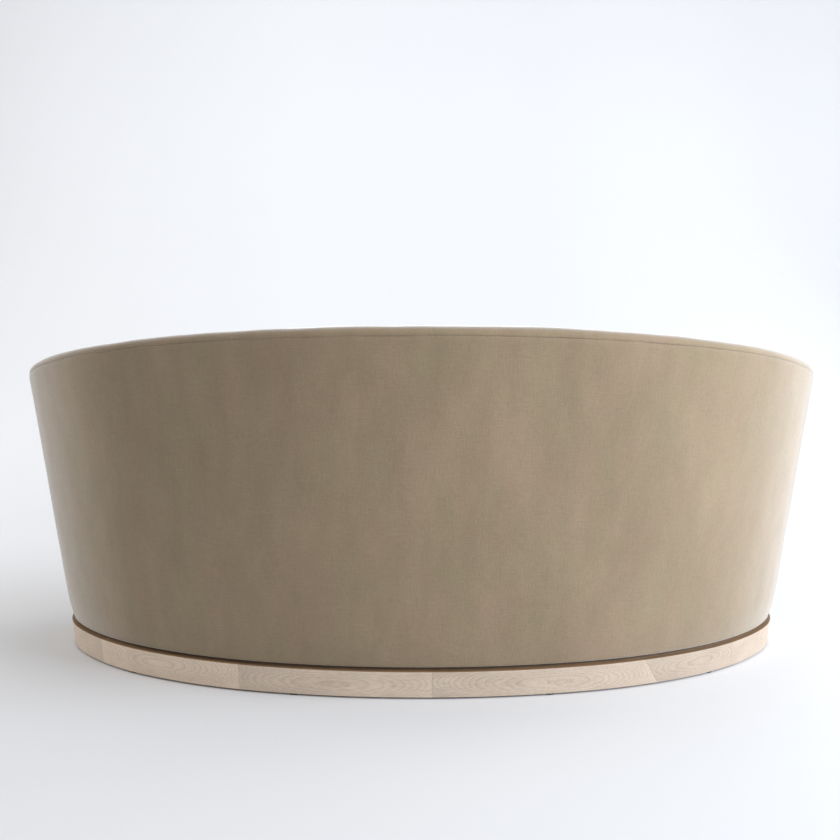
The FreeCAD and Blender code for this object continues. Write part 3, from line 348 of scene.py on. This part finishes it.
def velvet(name):
    """Cut pile: upright nap patches, greener and pinker in turn, over a fine cross weave, with a bloom."""
    material, tree, shader = base_material(name)
    upright = place_node(tree, scale=(1.0, 1.0, 0.35))
    patches = noise_node(tree, upright, scale=4.5, roughness=0.5, distortion=0.4)
    strokes = noise_node(tree, place_node(tree, scale=(1.0, 1.0, 0.3)), scale=26.0)
    hue = noise_node(tree, place_node(tree, scale=(1.0, 1.0, 0.4), shift=(3.0, 1.0, 2.0)), scale=13.0)
    pile = noise_node(tree, place_node(tree), scale=260.0, roughness=0.65)
    along, across = place_node(tree, scale=(1.0, 1.0, 0.12)), place_node(tree, scale=(0.16, 0.16, 1.0))
    warps = noise_node(tree, along, scale=THREAD_SCALE, detail=2.0, roughness=0.6)
    wefts = noise_node(tree, across, scale=THREAD_SCALE, detail=2.0, roughness=0.6)
    weave = math_node(tree, "ADD", warps, wefts)
    tone = math_node(tree, "ADD", math_node(tree, "MULTIPLY", patches, 0.6),
                     math_node(tree, "MULTIPLY", strokes, 0.4))
    green, pink = (0.266, 0.208, 0.131), (0.279, 0.206, 0.135)
    colour = ramp_node(tree, hue, [(0.36, green), (0.64, pink)])
    nap = ramp_node(tree, tone, [(0.34, (0.91, 0.91, 0.90)), (0.5, (1.0, 1.0, 1.0)),
                                 (0.66, (1.10, 1.10, 1.10))])
    colour = mix_node(tree, "MULTIPLY", 1.0, colour, nap)
    grain = math_node(tree, "ADD", math_node(tree, "MULTIPLY", weave, 0.3),
                      math_node(tree, "MULTIPLY", pile, 0.4))
    fine = ramp_node(tree, grain, [(0.38, (0.93, 0.93, 0.925)), (0.62, (1.07, 1.07, 1.07))])
    colour = mix_node(tree, "MULTIPLY", 1.0, colour, fine)
    link(tree, colour, shader.inputs["Base Color"])
    shader.inputs["Roughness"].default_value = 0.95
    shader.inputs["Specular IOR Level"].default_value = 0.12
    shader.inputs["Sheen Weight"].default_value = 1.0
    shader.inputs["Sheen Roughness"].default_value = 0.40
    shader.inputs["Sheen Tint"].default_value = (1.0, 1.0, 1.0, 1.0)
    height = math_node(tree, "ADD", math_node(tree, "MULTIPLY", pile, 0.5), weave)
    bump_node(tree, shader, height, strength=0.3, distance=0.0012)
    return material


RING_GAP = 0.0019
PITH_OUT = 0.042
PITH_TILT = 1.6       # most that the rings' axis leans, in degrees
PITH_RISE = 0.006     # most that it lies above or below the board's middle
WAVE_TURN = 0.3142    # one ring of the wave texture at a scale of 1
HEIGHT_SHARE = 10.0   # ramps over height end at 0.1 m
# Each board's tone: partly the boards' own differences, partly painted shade, darker on the boards towards
# -X, where the window light falls
BOARD_TONES_AND_PAINTED_SHADE = (0.99, 1.16, 0.96, 0.85, 0.71, 0.73, 1.0, 0.94, 1.04, 0.97)


def oak(name, point, heading, seed):
    """Limed oak sawn to a curve through its growth rings, so that its face shows cathedral arches.

    The rings' axis runs along the segment, outside its face by PITH_OUT at the given point. The top
    of the board is darkened as painted shade, except for its eased edge, and just below that edge it is
    lightened.
    """
    material, tree, shader = base_material(name)
    tilt = math.radians(PITH_TILT * math.sin(seed * 2.1))
    turn = Euler((0.0, tilt, -heading))
    axis = Vector(point) + Vector((-math.sin(heading), math.cos(heading), 0.0)) * PITH_OUT
    axis.z += PITH_RISE * math.sin(seed * 1.3)
    shift = -(turn.to_matrix() @ axis)
    mapping = place_node(tree, turn=tuple(turn), shift=tuple(shift))
    wave = tree.nodes.new("ShaderNodeTexWave")
    wave.wave_type = "RINGS"
    wave.rings_direction = "X"
    wave.wave_profile = "SAW"
    wave.inputs["Scale"].default_value = WAVE_TURN / RING_GAP
    wave.inputs["Distortion"].default_value = 3.4
    wave.inputs["Detail"].default_value = 3.0
    wave.inputs["Detail Scale"].default_value = 0.3
    wave.inputs["Detail Roughness"].default_value = 0.5
    link(tree, mapping, wave.inputs["Vector"])
    lengthwise = place_node(tree, scale=(0.04, 1.0, 1.0), turn=tuple(turn), shift=tuple(shift))
    fibres = noise_node(tree, lengthwise, scale=700.0, detail=2.0, roughness=0.6)
    clouded = place_node(tree, scale=(0.3, 1.0, 1.0), turn=tuple(turn))
    cloud = noise_node(tree, clouded, scale=30.0, detail=2.0)
    # Board tone, partly painted shade that darkens the boards towards -X
    base = BOARD_TONES_AND_PAINTED_SHADE[(seed - 1) % len(BOARD_TONES_AND_PAINTED_SHADE)]
    light = (0.66 * base, 0.545 * base, 0.44 * base)
    middle = (0.635 * base, 0.52 * base, 0.415 * base)
    late = (0.54 * base, 0.435 * base, 0.343 * base)
    rings = ramp_node(tree, wave.outputs["Fac"], [(0.0, middle), (0.35, light), (0.72, middle), (1.0, late)])
    blotch = ramp_node(tree, cloud, [(0.3, (0.94, 0.93, 0.92)), (0.7, (1.05, 1.05, 1.04))])
    colour = mix_node(tree, "MULTIPLY", 1.0, rings, blotch)
    pores = ramp_node(tree, fibres, [(0.36, (0.88, 0.87, 0.85)), (0.52, (1.0, 1.0, 1.0)),
                                     (0.66, (1.07, 1.07, 1.06))])
    colour = mix_node(tree, "MULTIPLY", 1.0, colour, pores)
    height_place = tree.nodes.new("ShaderNodeSeparateXYZ")
    link(tree, place_node(tree), height_place.inputs["Vector"])
    top = HEIGHT_SHARE * PLINTH_TOP
    # Painted shade: the top face, in the covers' shadow, is darkened to a mid brown; the wood from 3 mm to
    # 0.6 mm below the top is lightened by up to 8 %
    eased_edge_and_painted_ledge_shade = ramp_node(tree, math_node(tree, "MULTIPLY", height_place.outputs["Z"], HEIGHT_SHARE),
                      [(top - 0.03, (1.0, 1.0, 1.0)), (top - 0.012, (1.08, 1.08, 1.08)),
                       (top - 0.006, (1.0, 0.99, 0.97)), (top - 0.002, (0.50, 0.38, 0.26))])
    colour = mix_node(tree, "MULTIPLY", 1.0, colour, eased_edge_and_painted_ledge_shade)
    link(tree, colour, shader.inputs["Base Color"])
    shader.inputs["Roughness"].default_value = 0.6
    shader.inputs["Specular IOR Level"].default_value = 0.3
    height = math_node(tree, "ADD", math_node(tree, "MULTIPLY", fibres, 0.6),
                       math_node(tree, "MULTIPLY", wave.outputs["Fac"], -0.5))
    bump_node(tree, shader, height, strength=0.15, distance=0.0005)
    return material


def stain_and_painted_shade_band(name):
    """Dark stain, with painted shade darkening it towards its top under the covers and painted light turning
    its foot golden brown.
    """
    material, tree, shader = base_material(name)
    height_place = tree.nodes.new("ShaderNodeSeparateXYZ")
    link(tree, place_node(tree), height_place.inputs["Vector"])
    share = math_node(tree, "MULTIPLY", height_place.outputs["Z"], HEIGHT_SHARE)
    foot = HEIGHT_SHARE * PLINTH_TOP
    # The stain is really dark brown; painted light makes its foot golden brown and painted shade makes its
    # top nearly black
    colour = ramp_node(tree, share, [(foot + 0.006, (0.20, 0.12, 0.055)),
                                     (foot + 0.025, (0.09, 0.055, 0.028)),
                                     (HEIGHT_SHARE * REVEAL_TOP - 0.01, (0.045, 0.028, 0.016))])
    streaks = noise_node(tree, place_node(tree, scale=(0.1, 0.1, 1.0)), scale=260.0)
    streaks = ramp_node(tree, streaks, [(0.3, (0.75, 0.75, 0.75)), (0.7, (1.25, 1.25, 1.25))])
    colour = mix_node(tree, "MULTIPLY", 1.0, colour, streaks)
    link(tree, colour, shader.inputs["Base Color"])
    shader.inputs["Roughness"].default_value = 0.5
    bump_node(tree, shader, streaks, strength=0.1, distance=0.0004)
    return material


def plain_wood(name, colour, roughness=0.7, contrast=0.25):
    material, tree, shader = base_material(name)
    streaks = noise_node(tree, place_node(tree, scale=(0.15, 0.15, 1.0)), scale=120.0, distortion=0.4)
    darker = tuple(value * (1 - contrast) for value in colour)
    lighter = tuple(min(1.0, value * (1 + contrast)) for value in colour)
    link(tree, ramp_node(tree, streaks, [(0.3, darker), (0.7, lighter)]), shader.inputs["Base Color"])
    shader.inputs["Roughness"].default_value = roughness
    bump_node(tree, shader, streaks, strength=0.15, distance=0.0005)
    return material


def cloth(name, colour, thread_scale, roughness=0.95):
    """Plain woven or felted cloth."""
    material, tree, shader = base_material(name)
    warp = noise_node(tree, place_node(tree, scale=(1.0, 0.1, 1.0)), scale=thread_scale, detail=1.0)
    weft = noise_node(tree, place_node(tree, scale=(0.1, 1.0, 0.3)), scale=thread_scale, detail=1.0)
    weave = math_node(tree, "ADD", warp, weft)
    darker = tuple(value * 0.75 for value in colour)
    lighter = tuple(min(1.0, value * 1.2) for value in colour)
    link(tree, ramp_node(tree, math_node(tree, "MULTIPLY", weave, 0.5), [(0.35, darker), (0.65, lighter)]),
         shader.inputs["Base Color"])
    shader.inputs["Roughness"].default_value = roughness
    bump_node(tree, shader, weave, strength=0.3, distance=0.0008)
    return material


def zinc(name):
    material, tree, shader = base_material(name)
    spots = noise_node(tree, place_node(tree), scale=300.0)
    link(tree, ramp_node(tree, spots, [(0.35, (0.42, 0.43, 0.43)), (0.65, (0.62, 0.62, 0.6))]),
         shader.inputs["Base Color"])
    shader.inputs["Metallic"].default_value = 1.0
    shader.inputs["Roughness"].default_value = 0.42
    return material


VELVET = velvet("velvet_shell")
DECK_CLOTH = cloth("deck_cloth", (0.22, 0.185, 0.13), 700.0)

SLOT_MATERIALS = {
    "dark_stain": stain_and_painted_shade_band("reveal_stain_painted_shade"),
    "plywood": plain_wood("plywood", (0.5, 0.36, 0.22)),
    "frame_wood": plain_wood("frame_wood", (0.52, 0.37, 0.22), contrast=0.2),
    "zinc_steel": zinc("zinc_steel"),
    "felt": cloth("glide_felt", (0.03, 0.025, 0.02), 500.0),
    "webbing": cloth("webbing_weave", (0.3, 0.22, 0.13), 400.0),
    "foam": cloth("foam_cells", (0.75, 0.7, 0.52), 260.0, roughness=1.0),
    "velvet": VELVET,
    "deck_cloth": DECK_CLOTH,
    "dust_cloth": cloth("dust_cloth", (0.02, 0.02, 0.02), 450.0),
    "zip": cloth("zip_tape", (0.16, 0.12, 0.08), 500.0),
}


CORNER_BOARD_TURN = 1.5    # degrees from the last joint of the bow to the middle of a corner board


def segment_middle(number):
    """Middle of a plinth segment's face, and the direction that the segment runs in there."""
    if number < len(OAK_JOINTS):
        station = rear((OAK_JOINTS[number - 1] + OAK_JOINTS[number]) / 2)
    elif number == len(OAK_JOINTS):
        station = bow(math.radians(BOW_JOINTS[0] - CORNER_BOARD_TURN))
    elif number < len(OAK_JOINTS) + len(BOW_JOINTS):
        first = number - len(OAK_JOINTS) - 1
        station = bow(math.radians((BOW_JOINTS[first] + BOW_JOINTS[first + 1]) / 2))
    else:
        station = bow(math.radians(BOW_JOINTS[-1] + CORNER_BOARD_TURN))
    x, y, nx, ny = station
    return (x, y - CENTRE_Y, PLINTH_TOP / 2), math.atan2(-nx, ny)


def dress_cad_nodes():
    """Give each carried node its material, and the plinth's segments their own boards and eased edges."""
    slots = {row["node"]: row["material_slot"] for row in frame["record"]["subparts"]}
    for name, item in sorted(frame["nodes"].items()):
        if slots[name] == "bleached_oak":
            number = int(name[-2:])
            point, heading = segment_middle(number)
            material = oak("oak_board_%02d" % number, point, heading, number)
            ease = item.modifiers.new("eased_edges", "BEVEL")
            ease.width = 0.0012
            ease.segments = 2
            ease.limit_method = "ANGLE"
            ease.angle_limit = math.radians(40)
        else:
            material = SLOT_MATERIALS[slots[name]]
        item.data.materials.clear()
        item.data.materials.append(material)


# Velvet shell

def tuck(z):
    """How far a cover draws in at its lower edge."""
    return HEM_TUCK * (1 - np.clip((z - HEM_LOW) / HEM_HEIGHT, 0, 1)) ** 2


def rounded_edge(proud, z, radius, way):
    """Points that turn a cover's edge over inwards, downwards with way -1 and upwards with way 1."""
    turns = np.radians([30.0, 60.0, 90.0])
    return (proud - radius * (1 - np.cos(turns))[None, :], z + way * radius * np.sin(turns)[None, :])


def outside_back():
    """The outside cover: tight up to its seam, and drawn in over its lowest hand's breadth."""
    stations = shell_stations(0.010)
    top = rim_z(stations)[:, None] - SEAM_DROP
    # Rows lie closer at the hem and at the seam
    share = np.concatenate([np.linspace(0, 0.1, 9), np.linspace(0.12, 0.95, 40), np.linspace(0.965, 1.0, 8)])
    z = HEM_LOW + HEM_ROUND + (top - HEM_LOW - HEM_ROUND) * share[None, :]
    proud = lean(z) - tuck(z)
    seam = OUTER_GROOVE * (1 - smooth_step(top - z, 0.0, GROOVE_WIDTH))
    points = placed(stations, proud, z)
    soft = SLACK * unevenness(points, scale=6.0, seed=1) + RIPPLE * unevenness(points, scale=22.0, seed=2)
    proud = proud - seam + soft * smooth_step(z, HEM_LOW, HEM_LOW + 0.05)
    under, under_z = rounded_edge(proud[:, :1], z[:, :1], HEM_ROUND, -1)
    face = np.concatenate([under[:, ::-1], proud], axis=1)
    face_z = np.concatenate([under_z[:, ::-1], z], axis=1)
    back = face[:, ::-1] - COVER_THICK
    back_z = np.maximum(face_z[:, ::-1], HEM_LOW)
    rows = placed(stations, np.concatenate([face, back], axis=1), np.concatenate([face_z, back_z], axis=1))
    item = swept_object("outside_back_velvet", rows, "shell", VELVET)
    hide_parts("outside_cover")


def rim_roll():
    """The padded rim: rounded over both shoulders, a little uneven along its top."""
    stations = shell_stations(0.008)
    seam_z = rim_z(stations)[:, None] - SEAM_DROP
    half = 10
    turns = np.radians(np.linspace(0, 90, half))[None, :]
    draw = RIM_ROUND * (1 - np.cos(turns) ** ROLL_FULLNESS)
    rise = SEAM_DROP * np.sin(turns) ** ROLL_FULLNESS
    proud = np.concatenate([lean(seam_z) - draw, inner(seam_z) + draw[:, ::-1]], axis=1)
    z = np.concatenate([seam_z + rise, seam_z + rise[:, ::-1]], axis=1)
    middle = np.concatenate([np.linspace(0, 1, half), np.linspace(1, 0, half)])[None, :]
    points = placed(stations, proud, z)
    settled = ROLL_SETTLING * middle * (1 + unevenness(points, scale=5.0, seed=4))
    z = z - settled - ROLL_RIPPLE * middle * unevenness(points, scale=14.0, seed=5)
    proud = proud + ROLL_RIPPLE * unevenness(points, scale=9.0, seed=6)
    groove = OUTER_GROOVE * np.exp(-np.linspace(0, 6, half))[None, :]
    proud[:, :half] -= groove
    proud[:, half:] += groove[:, ::-1]
    centre = (lean(seam_z) + inner(seam_z)) / 2
    scale = 1 - COVER_THICK / (RIM_THICK / 2)
    in_proud = centre + (proud[:, ::-1] - centre) * scale
    in_z = np.maximum(z[:, ::-1] - COVER_THICK, seam_z + 0.0004)
    rows = placed(stations, np.concatenate([proud, in_proud], axis=1), np.concatenate([z, in_z], axis=1))
    item = swept_object("rim_roll_velvet", rows, "shell", VELVET)
    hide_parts("inside_cover")


def inside_back():
    """The inside cover, padded out softly between its top seam and the seat."""
    stations = shell_stations(0.012)
    top = rim_z(stations)[:, None] - SEAM_DROP
    low = deck_top - INSIDE_REACH
    share = np.concatenate([np.linspace(0, 0.9, 30), np.linspace(0.92, 1.0, 8)])
    z = low + (top - low) * share[None, :]
    belly = INSIDE_BELLY * np.sin(np.pi * share) ** 0.7
    seam = INNER_GROOVE * (1 - smooth_step(top - z, 0.0, GROOVE_WIDTH))
    proud = inner(z) + INSIDE_RECESS - belly[None, :] + seam
    points = placed(stations, proud, z)
    proud = proud - INSIDE_RIPPLE * unevenness(points, scale=5.0, seed=8)
    back = proud[:, ::-1] + COVER_THICK
    rows = placed(stations, np.concatenate([proud, back], axis=1), np.concatenate([z, z[:, ::-1]], axis=1))
    item = swept_object("inside_back_velvet", rows[::-1], "shell", VELVET)


def solid_copy(name, node_names, voxel, body, material):
    """One closed mesh of even faces around some CAD nodes."""
    points, faces = [], []
    for node in node_names:
        mesh = frame["nodes"][node].data
        first = len(points)
        points += [tuple(vertex.co) for vertex in mesh.vertices]
        faces += [tuple(first + index for index in polygon.vertices) for polygon in mesh.polygons]
    item = new_object(name, points, faces, body, material)
    bpy.context.view_layer.objects.active = item
    for other in bpy.context.selected_objects:
        other.select_set(False)
    item.select_set(True)
    item.data.remesh_voxel_size = voxel
    item.data.remesh_voxel_adaptivity = 0.0
    bpy.ops.object.voxel_remesh()
    item.data.polygons.foreach_set("use_smooth", [True] * len(item.data.polygons))
    return item


def apply_modifiers(item):
    bpy.context.view_layer.objects.active = item
    for modifier in list(item.modifiers):
        bpy.ops.object.modifier_apply(modifier=modifier.name)


def softened(item, steps):
    smooth = item.modifiers.new("soften", "SMOOTH")
    smooth.factor = 0.5
    smooth.iterations = steps
    apply_modifiers(item)


def arm_fronts():
    for side in ("right", "left"):
        nodes = ["arm_front_cover_" + side, "arm_front_pad_" + side]
        item = solid_copy("arm_front_velvet_" + side, nodes, ARM_VOXEL, "shell", VELVET)
        softened(item, ARM_SOFTENING)
        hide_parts(nodes[0])


def front_border():
    """Velvet border below the seat: drawn in at its hem like the rest of the shell."""
    stations = evenly([bow(-BOW_END + 2 * BOW_END * k / 200) for k in range(201)], 0.010)
    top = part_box("front_border")[1].z - BORDER_ROUND
    share = np.linspace(0, 1, 26)[None, :]
    z = HEM_LOW + HEM_ROUND + (top - HEM_LOW - HEM_ROUND) * share
    z = np.repeat(z, len(stations), axis=0)
    proud = lean(z) - tuck(z)
    points = placed(stations, proud, z)
    proud = proud + BORDER_RIPPLE * unevenness(points, scale=6.0, seed=11)
    under, under_z = rounded_edge(proud[:, :1], z[:, :1], HEM_ROUND, -1)
    over, over_z = rounded_edge(proud[:, -1:], z[:, -1:], BORDER_ROUND, 1)
    face = np.concatenate([under[:, ::-1], proud, over], axis=1)
    face_z = np.concatenate([under_z[:, ::-1], z, over_z], axis=1)
    back = face[:, ::-1] - BORDER_THICK
    rows = placed(stations, np.concatenate([face, back], axis=1),
                  np.concatenate([face_z, face_z[:, ::-1]], axis=1))
    half = HALF_WIDTH + inner(rows[:, :, 2]) - BORDER_GAP
    rows[:, :, 0] = np.clip(rows[:, :, 0], -half, half)
    item = swept_object("front_border_velvet", rows, "shell", VELVET)
    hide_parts("front_border")


# Seat

def seat_cushion():
    """The loose bench cushion, filled out by simulation."""
    item = solid_copy("seat_cushion_velvet", ["cushion_cover", "cushion_core"], CUSHION_VOXEL,
                      "seat_cushion", VELVET)
    start = np.array([vertex.co for vertex in item.data.vertices])
    puff = item.modifiers.new("fill", "CLOTH")
    puff.settings.quality = 4
    puff.settings.use_pressure = True
    puff.settings.uniform_pressure_force = CUSHION_PRESSURE
    puff.settings.effector_weights.gravity = 0.0
    scene = bpy.context.scene
    for number in range(1, CUSHION_FRAMES + 1):
        scene.frame_set(number)
    apply_modifiers(item)
    scene.frame_set(1)
    end = np.array([vertex.co for vertex in item.data.vertices])
    move = end - start
    length = np.linalg.norm(move, axis=1)
    keep = np.minimum(1.0, CUSHION_CAP / np.maximum(length, STILL))
    start = start + move * keep[:, None]
    item.data.vertices.foreach_set("co", start.astype(np.float32).ravel())
    softened(item, CUSHION_SOFTENING)
    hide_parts("cushion_cover", "cushion_core")


# Stage, light and camera

def stage():
    """A pale floor that runs up into a wall without an edge."""
    bend = 1.6
    wall_y = -3.2
    reach = 6.0
    half = 9.0
    line = [(reach, 0.0), (wall_y + bend, 0.0)]
    line += [(wall_y + bend - bend * math.sin(turn), bend - bend * math.cos(turn))
             for turn in np.radians(np.arange(6, 91, 6))]
    line.append((wall_y, reach))
    points = [(x, y, z) for y, z in line for x in (-half, half)]
    faces = [(2 * k, 2 * k + 1, 2 * k + 3, 2 * k + 2) for k in range(len(line) - 1)]
    mesh = bpy.data.meshes.new("studio_floor")
    mesh.from_pydata(points, [], faces)
    mesh.polygons.foreach_set("use_smooth", [True] * len(mesh.polygons))
    material, tree, shader = base_material("studio_paper")
    across = tree.nodes.new("ShaderNodeSeparateXYZ")
    link(tree, place_node(tree), across.inputs["Vector"])
    # Painted light and shade: the paper is lighter towards +X, over 5 m, and the wall is painted lighter
    # than the floor, though both are one paper
    share = math_node(tree, "ADD", math_node(tree, "MULTIPLY", across.outputs["X"], 0.2), 0.5)
    painted_falloff_tones = [(0.08, 0.72), (0.38, 0.73), (0.5, 0.77), (0.62, 0.815), (0.92, 0.84)]
    paper = ramp_node(tree, share, [(place, (tone, tone, tone * 1.005)) for place, tone in painted_falloff_tones])
    depth = math_node(tree, "MULTIPLY", across.outputs["Y"], -0.25)
    wall = ramp_node(tree, depth, [(0.2, (0.9, 0.9, 0.9)), (0.6, (1.0, 1.0, 1.0))])
    link(tree, mix_node(tree, "MULTIPLY", 1.0, paper, wall), shader.inputs["Base Color"])
    shader.inputs["Roughness"].default_value = 0.9
    mesh.materials.append(material)
    floor = bpy.data.objects.new("studio_floor", mesh)
    bpy.context.scene.collection.objects.link(floor)


def area_light(name, place, target, width, height, power, colour=(1.0, 1.0, 1.0)):
    light = bpy.data.lights.new(name, "AREA")
    light.shape = "RECTANGLE"
    light.size = width
    light.size_y = height
    light.energy = power
    light.color = colour
    item = bpy.data.objects.new(name, light)
    item.location = place
    item.rotation_euler = (Vector(target) - Vector(place)).to_track_quat("-Z", "Y").to_euler()
    bpy.context.scene.collection.objects.link(item)


def lights():
    area_light("window_light", place=(-3.5, 1.45, 1.5), target=(0.0, 0.1, 0.4),
               width=3.0, height=2.4, power=206.0, colour=(0.91, 0.97, 1.07))
    area_light("edge_light", place=(-3.0, -1.3, 1.0), target=(-0.8, 0.0, 0.4),
               width=1.2, height=1.8, power=36.0, colour=(0.90, 0.97, 1.03))
    area_light("top_light", place=(-0.5, 0.5, 4.2), target=(0.0, 0.0, 0.0),
               width=4.0, height=4.0, power=52.0)
    area_light("far_fill", place=(3.4, -1.0, 1.0), target=(0.8, 0.0, 0.4),
               width=1.4, height=2.0, power=36.0)
    world = bpy.data.worlds.new("studio_air")
    world.use_nodes = True
    background = world.node_tree.nodes["Background"]
    background.inputs["Color"].default_value = (0.97, 0.97, 0.98, 1.0)
    background.inputs["Strength"].default_value = 0.50
    bpy.context.scene.world = world


CAMERA_ASIDE = 0.003
CAMERA_DISTANCE = 2.8358    # behind the centre of the ellipse that the back follows
CAMERA_HEIGHT = 0.8132
CAMERA_LENS = 50.5          # millimetres, on a sensor 36 mm wide
CAMERA_PITCH = 5.81         # degrees downwards


def camera():
    data = bpy.data.cameras.new("photo_camera")
    data.lens = CAMERA_LENS
    data.sensor_width = 36.0
    item = bpy.data.objects.new("photo_camera", data)
    item.location = (CAMERA_ASIDE, CAMERA_DISTANCE - CENTRE_Y, CAMERA_HEIGHT)
    item.rotation_euler = (math.radians(90 - CAMERA_PITCH), 0.0, math.radians(180))
    bpy.context.scene.collection.objects.link(item)
    bpy.context.scene.camera = item


dress_cad_nodes()
outside_back()
rim_roll()
inside_back()
arm_fronts()
front_border()
seat_cushion()
stage()
lights()
camera()
bpy.context.scene.view_settings.view_transform = "Standard"
